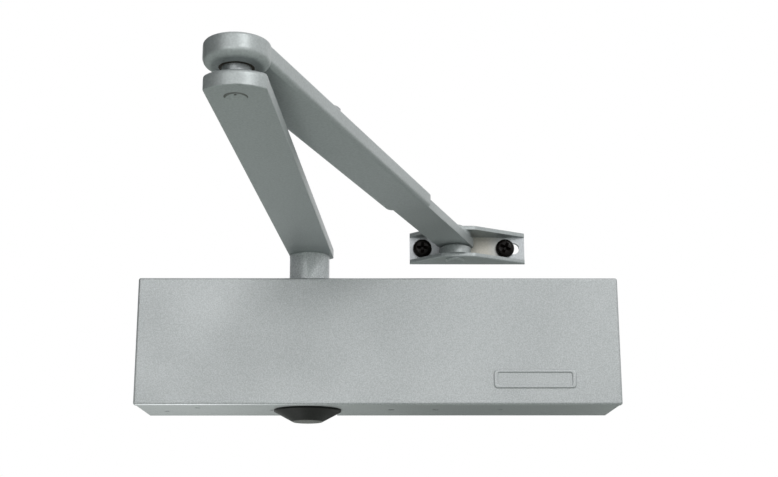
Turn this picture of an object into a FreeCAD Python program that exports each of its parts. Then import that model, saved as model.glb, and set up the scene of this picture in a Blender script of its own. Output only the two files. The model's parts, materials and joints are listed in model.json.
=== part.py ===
import FreeCAD, Part
import math
import os
from FreeCAD import Vector

# Overhead door closer with a scissor arm, in millimetres.
# X runs along the body, +Y goes into the door leaf, +Z is up along the shaft.
# The origin is the centre of the body's back face, which lies on the door.

# Cover: a deep cap over the casting, open at the back, with a front panel that stands proud
COVER_LENGTH = 226.0
COVER_HEIGHT = 60.0
COVER_DEPTH = 46.0
COVER_WALL = 2.0
PANEL_THICKNESS = 3.0
PANEL_OVERHANG = 0.5
PANEL_EDGE = 1.1
COVER_GAP = 0.3
NOTCH_GAP = 1.0

# Shaft, its pinion and the rack
SHAFT_FROM_LEFT = 79.3
TOOTH_MODULE = 1.5
TOOTH_COUNT = 12
PRESSURE_ANGLE = math.radians(25.0)
BACKLASH = 0.24
PINION_HEIGHT = 18.0
SWING_RANGE = math.radians(160.0)
JOURNAL_RADIUS = 8.0
BEARING_WALL = 4.0
NUT_HEIGHT = 3.7
SHAFT_SEAL_WIDTH = 2.0
SHAFT_SEAL_HEIGHT = 1.8
SQUARE = 11.0

# Casting, bore, piston and spring
PLATE_THICKNESS = 8.0
BARREL_GAP = 0.6
BARREL_WALL = 3.4
LUG_LENGTH = 11.2
PLUG_STEP = 1.2
PLUG_LENGTH = 9.0
PLUG_SEAL_PLACE = 6.5
PLUG_KEY = 14.0
PLUG_KEY_DEPTH = 5.0
PISTON_GAP = 0.1
WINDOW_GAP = 1.2
PISTON_WALL = 10.0
SPRING_WIRE = 5.5
SPRING_TURNS = 8
SPRING_SEAT = 4.0
SPRING_PILOT = 5.0
MOUNT_EDGE_X = 5.2
MOUNT_EDGE_Z = 9.2
MOUNT_HOLE_RADIUS = 3.2

# Main arm with its hub
ARM_LENGTH = 221.4
ARM_ANGLE = -93.5
ARM_WIDTH = 21.2
ARM_OFFSET = 0.6
ARM_END_REACH = 10.6
ARM_END_RADIUS = 14.0
ARM_CORNER = 1.0
ARM_EASE = 0.5
ARM_THICKNESS = 6.0
ARM_BOTTOM = 46.0
ARM_SCREW_RADIUS = 3.0
ARM_SCREW_LENGTH = 14.0
ARM_SCREW_HEAD = 5.4
ARM_SCREW_KEY = 4.0
ARM_SCREW_WASHER = 0.9
HUB_RADIUS = 9.7
ELBOW_GAP = 4.0
ELBOW_PIN_RADIUS = 4.2
ELBOW_SHANK_RADIUS = 3.5
ELBOW_DISH = 0.7
ELBOW_WASHER_RADIUS = 5.0
BUSH_RADIUS = 6.0

# Forearm: a flat tube with a round head, and a bar that slides in it
FOREARM_LENGTH = 266.0
FOREARM_ANGLE = 70.9
HEAD_RADIUS = 11.3
SLEEVE_RISE = 1.4
SLEEVE_WIDTH = 21.2
SLEEVE_HEIGHT = 7.1
SLEEVE_END = 187.5
SLEEVE_WALL = 1.0
SLEEVE_SIDE = 1.75
BAR_GAP = 0.15
BAR_END_REACH = 8.8
BAR_END_RADIUS = 12.5
BAR_CORNER = 3.5
CLAMP_PLACE = 83.0
CLAMP_RADIUS = 2.5
CLAMP_HEAD = 5.4
CLAMP_WASHER = 1.0
LENGTH_TRAVEL = 25.0
GROOVE_DEPTH = 1.6

# Frame bracket: a pressed channel with two pointed ears
BRACKET_LEFT = 23.2
BRACKET_RIGHT = 37.0
BRACKET_HEIGHT = 16.6
BRACKET_SHEET = 2.1
BRACKET_BACK = 12.4
BRACKET_BEND = 0.6
BRACKET_DROP = 0.9
EAR_FRONT = 6.0
EAR_CORNER = 6.0
EAR_EASE = 0.7
LEFT_FLANK = math.radians(45.0)
RIGHT_FLANK = math.radians(30.0)
BRACKET_PIN_RADIUS = 3.5
COLLAR_RADIUS = 8.2
COLLAR_HEIGHT = 3.6
SCREW_LEFT = 16.6
SCREW_RIGHT = 26.8
SCREW_RADIUS = 2.4
SCREW_LENGTH = 22.0
SCREW_HEAD_RADIUS = 4.9
SCREW_HEAD_HEIGHT = 3.0
SCREW_SLOT_REACH = 2.4
SCREW_SLOT_WIDTH = 1.1

# Lower cap and regulating valves
CAP_RADIUS = 16.0
CAP_TIP_RADIUS = 7.0
CAP_HEIGHT = 5.7
CAP_RIM = 0.8
VALVES_FROM_SHAFT = (39.9, 61.0)
VALVE_RADIUS = 3.0
PIPS_FROM_LEFT = ((11.5, -17.7), (27.9, -31.0), (62.5, -21.9), (171.0, -25.0))

# Fits: pieces fixed in each other, and pieces that turn or slide
SEAT = 0.02
RUN = 0.05
LIFT = 0.1

# Sizes and places that follow
SHAFT_X = -COVER_LENGTH / 2 + SHAFT_FROM_LEFT
SHAFT_Y = -COVER_DEPTH / 2
VALVE_X = [SHAFT_X + place for place in VALVES_FROM_SHAFT]
PIPS = [(-COVER_LENGTH / 2 + x, y) for x, y in PIPS_FROM_LEFT]
WALL_X = COVER_LENGTH / 2 - PANEL_OVERHANG
WALL_Z = COVER_HEIGHT / 2 - PANEL_OVERHANG
INNER_X = WALL_X - COVER_WALL
INNER_Z = WALL_Z - COVER_WALL
PLATE_X = INNER_X - COVER_GAP
PLATE_Z = INNER_Z - COVER_GAP
BOSS_Z = INNER_Z - 0.4
BARREL_RADIUS = COVER_DEPTH / 2 - COVER_WALL - BARREL_GAP
BORE_RADIUS = BARREL_RADIUS - BARREL_WALL
PLUG_RADIUS = BORE_RADIUS + PLUG_STEP
BARREL_X = PLATE_X - LUG_LENGTH
MOUNT_X = PLATE_X - MOUNT_EDGE_X
MOUNT_Z = PLATE_Z - MOUNT_EDGE_Z
PITCH_RADIUS = TOOTH_MODULE * TOOTH_COUNT / 2
TIP_RADIUS = PITCH_RADIUS + 0.87 * TOOTH_MODULE
ROOT_RADIUS = PITCH_RADIUS - TOOTH_MODULE
TOOTH_PITCH = math.pi * TOOTH_MODULE
STROKE = PITCH_RADIUS * SWING_RANGE
WINDOW_LEFT = SHAFT_X - TIP_RADIUS - WINDOW_GAP - STROKE
WINDOW_RIGHT = SHAFT_X + TIP_RADIUS + WINDOW_GAP
PISTON_LEFT = WINDOW_LEFT - PISTON_WALL
PISTON_RIGHT = WINDOW_RIGHT + PISTON_WALL
PISTON_RADIUS = BORE_RADIUS - PISTON_GAP
BEARING_RADIUS = JOURNAL_RADIUS + BEARING_WALL
BEARING_LOW = BORE_RADIUS + 0.6
NUT_LOW = BOSS_Z - NUT_HEIGHT
RIGHT_PLUG_X = BARREL_X - PLUG_LENGTH
SEAT_X = RIGHT_PLUG_X - SPRING_SEAT
SPRING_RADIUS = BORE_RADIUS - 0.75 - SPRING_WIRE / 2
ARM_TOP = ARM_BOTTOM + ARM_THICKNESS
HUB_BOTTOM = INNER_Z + 1.2
SOCKET_TOP = ARM_BOTTOM + 1.0
ELBOW_X = SHAFT_X + ARM_LENGTH * math.cos(math.radians(ARM_ANGLE))
ELBOW_Y = SHAFT_Y + ARM_LENGTH * math.sin(math.radians(ARM_ANGLE))
HEAD_BOTTOM = ARM_TOP + ELBOW_GAP
SLEEVE_BOTTOM = HEAD_BOTTOM + SLEEVE_RISE
SLEEVE_TOP = SLEEVE_BOTTOM + SLEEVE_HEIGHT
CLAMP_LOW = SLEEVE_TOP + CLAMP_WASHER
CAVITY_WIDTH = SLEEVE_WIDTH - 2 * SLEEVE_SIDE
BAR_WIDTH = CAVITY_WIDTH - 2 * BAR_GAP
BAR_BOTTOM = SLEEVE_BOTTOM + SLEEVE_WALL + BAR_GAP
BAR_TOP = SLEEVE_TOP - SLEEVE_WALL - BAR_GAP
BAR_START = CLAMP_PLACE - LENGTH_TRAVEL - CLAMP_RADIUS - 9.5
CAVITY_START = BAR_START - LENGTH_TRAVEL - 3.0
PIVOT_X = ELBOW_X + FOREARM_LENGTH * math.cos(math.radians(FOREARM_ANGLE))
PIVOT_Y = ELBOW_Y + FOREARM_LENGTH * math.sin(math.radians(FOREARM_ANGLE))
BRACKET_MIDDLE = (BAR_BOTTOM + BAR_TOP) / 2 - BRACKET_DROP
BRACKET_LOW = BRACKET_MIDDLE - BRACKET_HEIGHT / 2
BRACKET_HIGH = BRACKET_MIDDLE + BRACKET_HEIGHT / 2
BASE_FRONT = PIVOT_Y + BRACKET_BACK - BRACKET_SHEET
CAP_TOP = -WALL_Z - LIFT


def box(x0, x1, y0, y1, z0, z1):
    return Part.makeBox(x1 - x0, y1 - y0, z1 - z0, Vector(x0, y0, z0))


def rod(radius, z0, z1, x=0.0, y=0.0):
    return Part.makeCylinder(radius, z1 - z0, Vector(x, y, z0), Vector(0, 0, 1))


def rod_x(radius, x0, x1, y=SHAFT_Y, z=0.0):
    return Part.makeCylinder(radius, x1 - x0, Vector(x0, y, z), Vector(1, 0, 0))


def rod_y(radius, y0, y1, x, z):
    return Part.makeCylinder(radius, y1 - y0, Vector(x, y0, z), Vector(0, 1, 0))


def tube(inner, outer, z0, z1, x=0.0, y=0.0):
    return rod(outer, z0, z1, x, y).cut(rod(inner, z0 - 1, z1 + 1, x, y))


def turned(outline, x=0.0, y=0.0):
    """A solid of revolution about the vertical line through x, y, from (radius, height) corners."""
    corners = [Vector(r, 0, z) for r, z in outline]
    face = Part.Face(Part.makePolygon(corners + corners[:1]))
    solid = face.revolve(Vector(0, 0, 0), Vector(0, 0, 1), 360)
    solid.translate(Vector(x, y, 0))
    return solid


def prism(outline, z0, z1):
    """A straight solid between two heights, from (x, y) corners."""
    corners = [Vector(x, y, z0) for x, y in outline]
    face = Part.Face(Part.makePolygon(corners + corners[:1]))
    return face.extrude(Vector(0, 0, z1 - z0))


def round_edges(solid, radius, choose):
    return solid.makeFillet(radius, [edge for edge in solid.Edges if choose(edge)])


def along(edge, axis):
    """True where a straight edge runs along the axis."""
    if len(edge.Vertexes) < 2:
        return False
    span = edge.Vertexes[1].Point.sub(edge.Vertexes[0].Point)
    return abs(edge.Length - span.Length) < 1e-6 and abs(span.dot(axis)) > 0.999 * span.Length


def at_height(edge, z):
    return abs(edge.BoundBox.ZMin - z) < 1e-4 and abs(edge.BoundBox.ZMax - z) < 1e-4


def turn_to(solid, angle, x, y):
    """Turns a piece drawn along +X at the origin to its angle, and moves it to x, y."""
    solid.rotate(Vector(0, 0, 0), Vector(0, 0, 1), angle)
    solid.translate(Vector(x, y, 0))
    return solid


def mirrored(solid):
    return solid.mirror(Vector(0, 0, 0), Vector(0, 0, 1))


def hexagon(across, z0, z1):
    reach = across / math.sqrt(3)
    return prism([(reach * math.cos(i * math.pi / 3), reach * math.sin(i * math.pi / 3)) for i in range(6)], z0, z1)


def front_cover():
    walls = box(-WALL_X, WALL_X, -COVER_DEPTH + 1, 0, -WALL_Z, WALL_Z)
    panel = box(-COVER_LENGTH / 2, COVER_LENGTH / 2, -COVER_DEPTH, -COVER_DEPTH + PANEL_THICKNESS,
                -COVER_HEIGHT / 2, COVER_HEIGHT / 2)
    panel = round_edges(panel, PANEL_EDGE, lambda e: along(e, Vector(0, 1, 0)) or
                        e.BoundBox.YMax < -COVER_DEPTH + 1e-4)
    hollow = box(-INNER_X, INNER_X, -COVER_DEPTH + COVER_WALL, 1, -INNER_Z, INNER_Z)
    cover = walls.fuse(panel).cut(hollow)
    # Notches that are open to the back let the cover slide on past the fitted shaft
    for radius, z0, z1 in ((HUB_RADIUS + NOTCH_GAP, 0, WALL_Z + 1), (CAP_RADIUS - 2.5, -WALL_Z - 1, 0)):
        cover = cover.cut(rod(radius, z0, z1, SHAFT_X, SHAFT_Y))
        cover = cover.cut(box(SHAFT_X - radius, SHAFT_X + radius, SHAFT_Y, 1, z0, z1))
    for x in VALVE_X:
        cover = cover.cut(rod(1.6, -WALL_Z - 1, 0, x, SHAFT_Y))
    for x, y in PIPS:
        cover = cover.cut(rod(1.3, -WALL_Z - 1, -WALL_Z + 0.4, x, y))
    return cover.removeSplitter()


def body_casting():
    plate = box(-PLATE_X, PLATE_X, -PLATE_THICKNESS, 0, -PLATE_Z, PLATE_Z)
    plate = round_edges(plate, 3.0, lambda e: along(e, Vector(0, 1, 0)))
    barrel = rod_x(BARREL_RADIUS, -BARREL_X, BARREL_X)
    back = box(-BARREL_X, BARREL_X, SHAFT_Y, -1, -BARREL_RADIUS, BARREL_RADIUS)
    boss = rod(BEARING_RADIUS + 4.0, -BOSS_Z, BOSS_Z, SHAFT_X, SHAFT_Y)
    casting = plate.fuse([barrel, back, boss])
    for x in VALVE_X:
        casting = casting.fuse(rod(VALVE_RADIUS + 3.0, -BOSS_Z, -BORE_RADIUS - 1, x, SHAFT_Y))
    casting = casting.cut(rod_x(BORE_RADIUS, -BARREL_X - 1, BARREL_X + 1))
    casting = casting.cut(rod_x(PLUG_RADIUS, RIGHT_PLUG_X, BARREL_X + 1))
    casting = casting.cut(rod_x(PLUG_RADIUS, -BARREL_X - 1, -RIGHT_PLUG_X))
    casting = casting.cut(rod(BEARING_RADIUS, -BOSS_Z - 1, BOSS_Z + 1, SHAFT_X, SHAFT_Y))
    for x in VALVE_X:
        casting = casting.cut(rod(VALVE_RADIUS + RUN, -BOSS_Z - 1, -BORE_RADIUS - 2.2, x, SHAFT_Y))
        casting = casting.cut(rod(0.8, -BORE_RADIUS - 3, -BORE_RADIUS + 2, x, SHAFT_Y))
    for x in (-MOUNT_X, MOUNT_X):
        for z in (-MOUNT_Z, MOUNT_Z):
            casting = casting.cut(rod_y(MOUNT_HOLE_RADIUS, -PLATE_THICKNESS - 1, 1, x, z))
    return casting.removeSplitter()


def lower_shaft_cap():
    tip = CAP_TOP - CAP_HEIGHT
    rim = CAP_TOP - CAP_RIM
    collar = CAP_RADIUS - 2.5 - LIFT
    return turned([(0, tip), (CAP_TIP_RADIUS, tip), (CAP_RADIUS, rim), (CAP_RADIUS, CAP_TOP), (collar, CAP_TOP),
                   (collar, -INNER_Z), (collar - 1.1, -INNER_Z), (collar - 1.1, CAP_TOP),
                   (CAP_TIP_RADIUS + 1.6, tip + 1.4), (0, tip + 1.4)], SHAFT_X, SHAFT_Y)


def bearing():
    return tube(JOURNAL_RADIUS + RUN, BEARING_RADIUS - SEAT, BEARING_LOW, NUT_LOW - LIFT, SHAFT_X, SHAFT_Y)


def bearing_nut():
    nut = tube(JOURNAL_RADIUS + 0.4, BEARING_RADIUS - SEAT, NUT_LOW, BOSS_Z, SHAFT_X, SHAFT_Y)
    nut = nut.cut(rod(JOURNAL_RADIUS + SHAFT_SEAL_WIDTH, NUT_LOW - 1, NUT_LOW + SHAFT_SEAL_HEIGHT + LIFT,
                      SHAFT_X, SHAFT_Y))
    # Two cross slots take the pin spanner
    for x, y in ((BEARING_RADIUS + 1, 1.5), (1.5, BEARING_RADIUS + 1)):
        nut = nut.cut(box(SHAFT_X - x, SHAFT_X + x, SHAFT_Y - y, SHAFT_Y + y, BOSS_Z - 1.2, BOSS_Z + 1))
    return nut


def shaft_seal():
    return tube(JOURNAL_RADIUS + RUN, JOURNAL_RADIUS + SHAFT_SEAL_WIDTH - SEAT,
                NUT_LOW, NUT_LOW + SHAFT_SEAL_HEIGHT, SHAFT_X, SHAFT_Y)


def plug_socket(x0, x1):
    """A hexagon recess along X for the key that screws a plug in."""
    recess = hexagon(PLUG_KEY, 0, x1 - x0)
    recess.rotate(Vector(0, 0, 0), Vector(0, 1, 0), 90)
    recess.translate(Vector(x0, SHAFT_Y, 0))
    return recess


def seal_groove(x):
    return rod_x(PLUG_RADIUS + 1, x - 1.1, x + 1.1).cut(rod_x(PLUG_RADIUS - 1.9, x - 2, x + 2))


def left_end_plug():
    plug = rod_x(PLUG_RADIUS - SEAT, -BARREL_X, -RIGHT_PLUG_X)
    stop = rod_x(BORE_RADIUS - LIFT, -RIGHT_PLUG_X - 1, PISTON_LEFT - 1.0)
    plug = plug.fuse(stop).cut(plug_socket(-BARREL_X - 1, -BARREL_X + PLUG_KEY_DEPTH))
    return plug.cut(seal_groove(-BARREL_X + PLUG_SEAL_PLACE)).removeSplitter()


def right_end_plug():
    plug = rod_x(PLUG_RADIUS - SEAT, RIGHT_PLUG_X, BARREL_X)
    plug = plug.cut(plug_socket(BARREL_X - PLUG_KEY_DEPTH, BARREL_X + 1))
    return plug.cut(seal_groove(BARREL_X - PLUG_SEAL_PLACE))


def end_plug_seals():
    rings = []
    for x in (-BARREL_X + PLUG_SEAL_PLACE, BARREL_X - PLUG_SEAL_PLACE):
        rings.append(Part.makeTorus(PLUG_RADIUS - 0.95, 0.92, Vector(x, SHAFT_Y, 0), Vector(1, 0, 0)))
    return Part.makeCompound(rings)


def spring_seat():
    plate = rod_x(BORE_RADIUS - 0.3, SEAT_X, RIGHT_PLUG_X - SEAT)
    pilot = rod_x(SPRING_RADIUS - SPRING_WIRE / 2 - 0.5, SEAT_X - SPRING_PILOT, SEAT_X + 1)
    return plate.fuse(pilot).removeSplitter()


def main_spring():
    """A round-wire compression spring, ground flat at both ends."""
    start, end = PISTON_RIGHT + LIFT, SEAT_X - LIFT
    pitch = (end - start) / SPRING_TURNS
    coil = Part.makeHelix(pitch, end - start, SPRING_RADIUS)
    slope = math.atan2(pitch, 2 * math.pi * SPRING_RADIUS)
    wire = Part.Circle(Vector(SPRING_RADIUS, 0, 0), Vector(0, math.cos(slope), math.sin(slope)), SPRING_WIRE / 2)
    spring = Part.Wire(coil.Edges).makePipeShell([Part.Wire([wire.toShape()])], True, True)
    spring = spring.common(rod(BORE_RADIUS, 0, end - start))
    spring.rotate(Vector(0, 0, 0), Vector(0, 1, 0), 90)
    spring.translate(Vector(start, SHAFT_Y, 0))
    return spring


def polar(radius, angle):
    return Vector(radius * math.cos(angle), radius * math.sin(angle), 0)


def involute(angle):
    return math.tan(angle) - angle


def pinion():
    """Involute teeth, one of them pointing to the front at rest."""
    base = PITCH_RADIUS * math.cos(PRESSURE_ANGLE)
    half_tooth = (TOOTH_PITCH - BACKLASH) / (4 * PITCH_RADIUS)

    def half_angle(radius):
        return half_tooth + involute(PRESSURE_ANGLE) - involute(math.acos(base / radius))

    start = base + 0.01
    radii = [start + (TIP_RADIUS - start) * i / 4 for i in range(5)]
    step = 2 * math.pi / TOOTH_COUNT
    edges = []
    for tooth in range(TOOTH_COUNT):
        middle = -math.pi / 2 + tooth * step
        rising, falling = Part.BSplineCurve(), Part.BSplineCurve()
        rising.interpolate([polar(r, middle - half_angle(r)) for r in radii])
        falling.interpolate([polar(r, middle + half_angle(r)) for r in reversed(radii)])
        foot, tip = half_angle(start), half_angle(TIP_RADIUS)
        edges.append(Part.LineSegment(polar(ROOT_RADIUS, middle - foot), polar(start, middle - foot)))
        edges.append(rising)
        edges.append(Part.Arc(polar(TIP_RADIUS, middle - tip), polar(TIP_RADIUS, middle),
                              polar(TIP_RADIUS, middle + tip)))
        edges.append(falling)
        edges.append(Part.LineSegment(polar(start, middle + foot), polar(ROOT_RADIUS, middle + foot)))
        edges.append(Part.Arc(polar(ROOT_RADIUS, middle + foot), polar(ROOT_RADIUS, middle + step / 2),
                              polar(ROOT_RADIUS, middle + step - foot)))
    outline = Part.Face(Part.Wire([edge.toShape() for edge in edges]))
    gear = outline.extrude(Vector(0, 0, PINION_HEIGHT))
    gear.translate(Vector(0, 0, -PINION_HEIGHT / 2))
    return gear


def pinion_shaft():
    neck = ROOT_RADIUS - 0.2
    square = SQUARE / 2
    shaft = pinion().fuse(rod(neck, -BEARING_LOW, BEARING_LOW))
    for low, high in ((BEARING_LOW - 0.3, HUB_BOTTOM - 0.4), (-BOSS_Z - 0.5, -BEARING_LOW + 0.3)):
        shaft = shaft.fuse(rod(JOURNAL_RADIUS, low, high))
    for low, high in ((HUB_BOTTOM - 1.4, SOCKET_TOP - 0.4), (CAP_TOP - 3.2, -BOSS_Z)):
        end = box(-square, square, -square, square, low, high)
        shaft = shaft.fuse(round_edges(end, 0.8, lambda e: along(e, Vector(0, 0, 1))))
    shaft = shaft.removeSplitter()
    shaft = shaft.cut(rod(ARM_SCREW_RADIUS + SEAT, SOCKET_TOP - ARM_SCREW_LENGTH - 2, SOCKET_TOP + 1))
    above = rod(COVER_DEPTH, HUB_BOTTOM - 0.4, SOCKET_TOP + 2)
    upper = shaft.common(above)
    lower = shaft.cut(above)
    upper.rotate(Vector(0, 0, 0), Vector(0, 0, 1), ARM_ANGLE)
    shaft = lower.fuse(upper)
    shaft.translate(Vector(SHAFT_X, SHAFT_Y, 0))
    return shaft.removeSplitter()


def blunt_end(bar, end, half, reach, radius, corner, low, high):
    """Shears the far end of a bar along +X to a blunt arc that meets the sides at a corner."""
    arc = rod(radius, low - 1, high + 1, end + reach - radius)
    waste = box(end, end + reach + 1, -half - 1, half + 1, low - 1, high + 1).cut(arc)
    bar = bar.cut(waste)
    return round_edges(bar, corner, lambda e: along(e, Vector(0, 0, 1)) and e.BoundBox.XMin > end)


def main_arm():
    half, reach = ARM_WIDTH / 2, ARM_END_REACH
    bar = box(-reach, ARM_LENGTH + reach, -half, half, ARM_BOTTOM, ARM_TOP)
    bar = blunt_end(bar, ARM_LENGTH, half, reach, ARM_END_RADIUS, ARM_CORNER, ARM_BOTTOM, ARM_TOP)
    bar.rotate(Vector(ARM_LENGTH / 2, 0, 0), Vector(0, 0, 1), 180)
    bar = blunt_end(bar, ARM_LENGTH, half, reach, ARM_END_RADIUS, ARM_CORNER, ARM_BOTTOM, ARM_TOP)
    bar = round_edges(bar, ARM_EASE, lambda e: at_height(e, ARM_BOTTOM))
    bar = round_edges(bar, 1.8, lambda e: at_height(e, ARM_TOP))
    # The strip lies a little to one side of the line through its two axes
    bar.translate(Vector(0, ARM_OFFSET, 0))
    hub = rod(HUB_RADIUS, HUB_BOTTOM, ARM_BOTTOM + 1)
    hub = round_edges(hub, 0.6, lambda e: at_height(e, HUB_BOTTOM))
    # A narrow bead runs round the hub where it is welded to the arm
    bead = HUB_RADIUS + 0.12
    ring = turned([(0, ARM_BOTTOM - 1.3), (HUB_RADIUS - 0.1, ARM_BOTTOM - 1.3), (bead, ARM_BOTTOM - 1.0),
                   (bead, ARM_BOTTOM + 0.5), (0, ARM_BOTTOM + 0.5)])
    arm = bar.fuse([hub, ring]).removeSplitter()
    side = SQUARE / 2 + SEAT
    socket = box(-side, side, -side, side, HUB_BOTTOM - 1, SOCKET_TOP)
    arm = arm.cut([socket, rod(ARM_SCREW_RADIUS + 0.2, SOCKET_TOP - 1, ARM_TOP + 1)])
    arm = arm.cut(rod(ELBOW_PIN_RADIUS + SEAT, ARM_BOTTOM - 1, ARM_TOP + 1, ARM_LENGTH))
    return turn_to(arm, ARM_ANGLE, SHAFT_X, SHAFT_Y)


def arm_screw_washer():
    top = ARM_TOP + ARM_SCREW_WASHER
    return tube(ARM_SCREW_RADIUS + 0.2, ARM_SCREW_HEAD + 1.6, ARM_TOP, top, SHAFT_X, SHAFT_Y)


def arm_screw():
    low, radius = ARM_TOP + ARM_SCREW_WASHER, ARM_SCREW_HEAD
    high = low + 2.4
    head = turned([(0, low), (radius, low), (radius, high - 0.8), (radius - 0.8, high), (0, high)])
    shank = rod(ARM_SCREW_RADIUS, SOCKET_TOP - ARM_SCREW_LENGTH, low + 0.5)
    screw = head.fuse(shank).cut(hexagon(ARM_SCREW_KEY, low + 0.7, high + 1))
    screw.translate(Vector(SHAFT_X, SHAFT_Y, 0))
    return screw.removeSplitter()


def elbow_pin():
    """A rivet with a dished end flush with the arm, a shoulder under the bush and a flat head on top."""
    low, top = ARM_BOTTOM, SLEEVE_TOP + LIFT
    radius, shank, shoulder = ELBOW_PIN_RADIUS, ELBOW_SHANK_RADIUS, HEAD_BOTTOM - LIFT
    pin = turned([(0, low), (radius, low), (radius, shoulder), (shank, shoulder), (shank, top), (radius + 2.3, top),
                  (radius + 2.3, top + 0.8), (radius + 0.8, top + 1.9), (0, top + 1.9)])
    rim = radius - 0.2
    curve = (rim * rim + ELBOW_DISH * ELBOW_DISH) / (2 * ELBOW_DISH)
    centre_mark = turned([(0, low), (0.7, low), (0.7, low + ELBOW_DISH), (0, low + ELBOW_DISH + 0.6)])
    pin = pin.cut([Part.makeSphere(curve, Vector(0, 0, low + ELBOW_DISH - curve)), centre_mark])
    pin.translate(Vector(ELBOW_X, ELBOW_Y, 0))
    return pin


def elbow_washer():
    """A thick washer round the rivet that holds the two arms apart."""
    return tube(ELBOW_PIN_RADIUS + LIFT, ELBOW_WASHER_RADIUS, ARM_TOP, HEAD_BOTTOM - LIFT, ELBOW_X, ELBOW_Y)


def rack_piston():
    piston = rod_x(PISTON_RADIUS, PISTON_LEFT, PISTON_RIGHT)
    tips = SHAFT_Y - PITCH_RADIUS + 0.8 * TOOTH_MODULE
    roots = SHAFT_Y - PITCH_RADIUS - TOOTH_MODULE
    window = box(WINDOW_LEFT, WINDOW_RIGHT, roots, SHAFT_Y + TIP_RADIUS + 1.0, -BORE_RADIUS, BORE_RADIUS)
    half_pitch_line = (TOOTH_PITCH - BACKLASH) / 4
    slope = math.tan(PRESSURE_ANGLE)
    half_root = half_pitch_line + TOOTH_MODULE * slope
    half_tip = half_pitch_line - 0.8 * TOOTH_MODULE * slope
    teeth = []
    for number in range(-7, 2):
        x = SHAFT_X + (number + 0.5) * TOOTH_PITCH
        teeth.append(prism([(x - half_root, roots), (x + half_root, roots), (x + half_tip, tips),
                            (x - half_tip, tips)], -BORE_RADIUS, BORE_RADIUS))
    piston = piston.cut(window.cut(teeth))
    for x in (PISTON_LEFT + 2.5, PISTON_RIGHT - 4.5):
        piston = piston.cut(rod_x(BORE_RADIUS, x, x + 2).cut(rod_x(PISTON_RADIUS - 1.5, x - 1, x + 3)))
    # Check valve in the left head: a port, and a chamber for the ball
    piston = piston.cut([rod_x(1.6, PISTON_LEFT, WINDOW_LEFT + 1), rod_x(2.8, PISTON_LEFT - 1, WINDOW_LEFT - 3.6)])
    return piston


def piston_rings():
    rings = []
    for x in (PISTON_LEFT + 2.6, PISTON_RIGHT - 4.4):
        rings.append(rod_x(BORE_RADIUS - RUN, x, x + 1.8).cut(rod_x(PISTON_RADIUS - 1.4, x - 1, x + 3)))
    return Part.makeCompound(rings)


def check_valve_ball():
    return Part.makeSphere(2.5, Vector(WINDOW_LEFT - 3.6 - 2.0, SHAFT_Y, 0))


def check_valve_retainer():
    return rod_x(2.8 - SEAT, PISTON_LEFT, PISTON_LEFT + 0.6).cut(rod_x(1.3, PISTON_LEFT - 1, PISTON_LEFT + 2))


def regulating_valve(x):
    low, shoulder = -BOSS_Z + 0.3, -BORE_RADIUS - 4.0
    groove = low + 3.2
    screw = turned([(0, low), (VALVE_RADIUS, low), (VALVE_RADIUS, groove), (VALVE_RADIUS - 0.84, groove),
                    (VALVE_RADIUS - 0.84, groove + 0.9), (VALVE_RADIUS, groove + 0.9), (VALVE_RADIUS, shoulder),
                    (0.9, shoulder + 1.6), (0, shoulder + 1.6)])
    screw = screw.cut(box(-4, 4, -0.5, 0.5, low - 1, low + 1.0))
    screw.translate(Vector(x, SHAFT_Y, 0))
    return screw


def valve_seal(x):
    return Part.makeTorus(VALVE_RADIUS - 0.42, 0.4, Vector(x, SHAFT_Y, -BOSS_Z + 0.3 + 3.2 + 0.45))


def forearm_sleeve():
    half = SLEEVE_WIDTH / 2
    sleeve = box(0, SLEEVE_END, -half, half, SLEEVE_BOTTOM, SLEEVE_TOP)
    # The mouth's left corner is well rounded, the right one only eased
    for corner, side in ((4.0, 1), (0.8, -1)):
        sleeve = round_edges(sleeve, corner, lambda e: along(e, Vector(0, 0, 1)) and e.BoundBox.XMin > 1 and
                             side * e.BoundBox.YMin > 1)
    sleeve = round_edges(sleeve, 2.0, lambda e: along(e, Vector(1, 0, 0)) and at_height(e, SLEEVE_BOTTOM))
    sleeve = round_edges(sleeve, 1.5, lambda e: along(e, Vector(1, 0, 0)) and at_height(e, SLEEVE_TOP))
    head = rod(HEAD_RADIUS, HEAD_BOTTOM, SLEEVE_TOP)
    head = round_edges(head, 3.0, lambda e: at_height(e, HEAD_BOTTOM))
    head = round_edges(head, 1.3, lambda e: at_height(e, SLEEVE_TOP))
    arm = sleeve.fuse(head).removeSplitter()
    cavity = box(CAVITY_START, SLEEVE_END + 1, -CAVITY_WIDTH / 2, CAVITY_WIDTH / 2,
                 SLEEVE_BOTTOM + SLEEVE_WALL, SLEEVE_TOP - SLEEVE_WALL)
    arm = arm.cut([cavity, rod(BUSH_RADIUS, HEAD_BOTTOM - 1, SLEEVE_TOP + 1),
                   rod(CLAMP_RADIUS + SEAT, BAR_TOP, SLEEVE_TOP + 1, CLAMP_PLACE)])
    return turn_to(arm, FOREARM_ANGLE, ELBOW_X, ELBOW_Y)


def elbow_bush():
    return tube(ELBOW_SHANK_RADIUS + RUN, BUSH_RADIUS - SEAT, HEAD_BOTTOM, SLEEVE_TOP, ELBOW_X, ELBOW_Y)


def clamp_washer():
    return turn_to(tube(CLAMP_RADIUS + LIFT, 6.2, SLEEVE_TOP, CLAMP_LOW, CLAMP_PLACE),
                   FOREARM_ANGLE, ELBOW_X, ELBOW_Y)


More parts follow.
